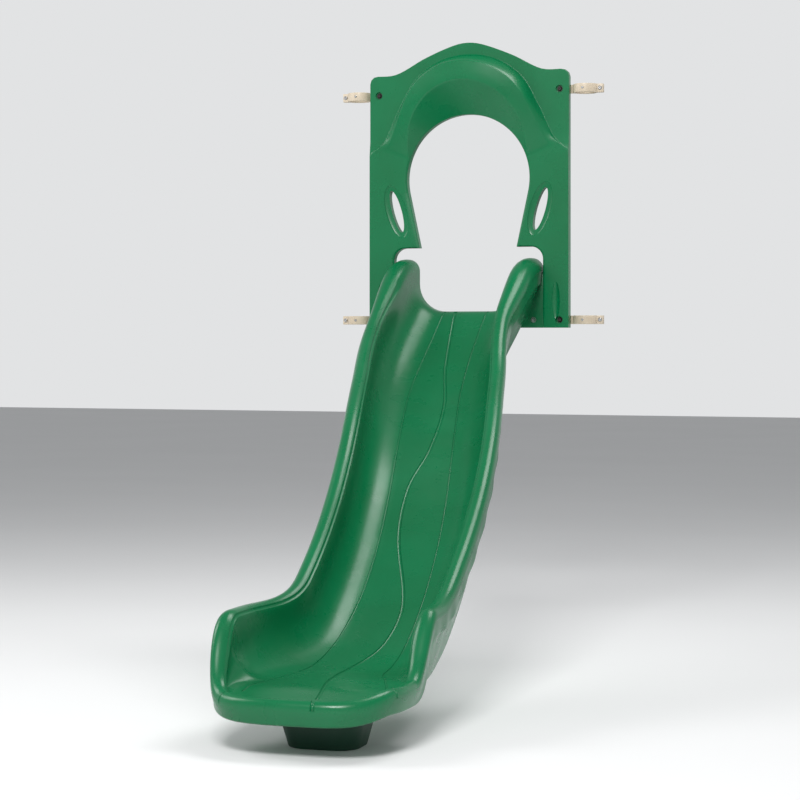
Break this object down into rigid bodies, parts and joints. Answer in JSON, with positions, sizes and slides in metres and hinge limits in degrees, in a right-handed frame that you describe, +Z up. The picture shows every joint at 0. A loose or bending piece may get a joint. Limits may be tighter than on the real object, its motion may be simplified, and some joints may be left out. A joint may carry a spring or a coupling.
{
  "type": "wave slide",
  "caption": "Moulded wave slide for a raised deck: hollow winding chute with rolled rails, entrance hood with doorway and hand grips, post clamps and an exit foot.",
  "frame": {"origin": "middle of the deck bolts' line, on the rear face of the support bar, midway between the two posts", "axes": "+X to the right seen from the exit side, +Y towards the deck, +Z up; the chute runs down towards -Y"},
  "size_m": [1.2262, 2.8564, 2.728],
  "materials": {
    "green_plastic": "semi-gloss moulded polyethylene",
    "foot_plastic": "satin moulded polyethylene",
    "clamp_paint": "tan powder coat",
    "dark_steel": "dark powder coat",
    "steel": "zinc plated",
    "insert_brass": "turned"
  },
  "bodies": {
    "root": {"chute": "green_plastic", "hood": "green_plastic", "exit_foot": "foot_plastic", "support_bar": "dark_steel", "clamp_bolts": "steel", "clamp_nuts": "steel", "post_rivets": "steel", "hood_bolts": "steel", "hood_bolt_washers": "steel", "hood_nuts": "steel", "hood_sleeves": "steel", "hood_spacers": "steel", "flange_bolts": "steel", "flange_washers": "steel", "flange_nuts": "steel", "foot_bolts": "steel", "foot_washers": "steel", "foot_inserts": "insert_brass", "upper_left_clamp_front": "clamp_paint", "upper_left_clamp_rear": "clamp_paint", "upper_right_clamp_front": "clamp_paint", "upper_right_clamp_rear": "clamp_paint", "lower_left_clamp_front": "clamp_paint", "lower_left_clamp_rear": "clamp_paint", "lower_right_clamp_front": "clamp_paint", "lower_right_clamp_rear": "clamp_paint"}
  },
  "joints": []
}
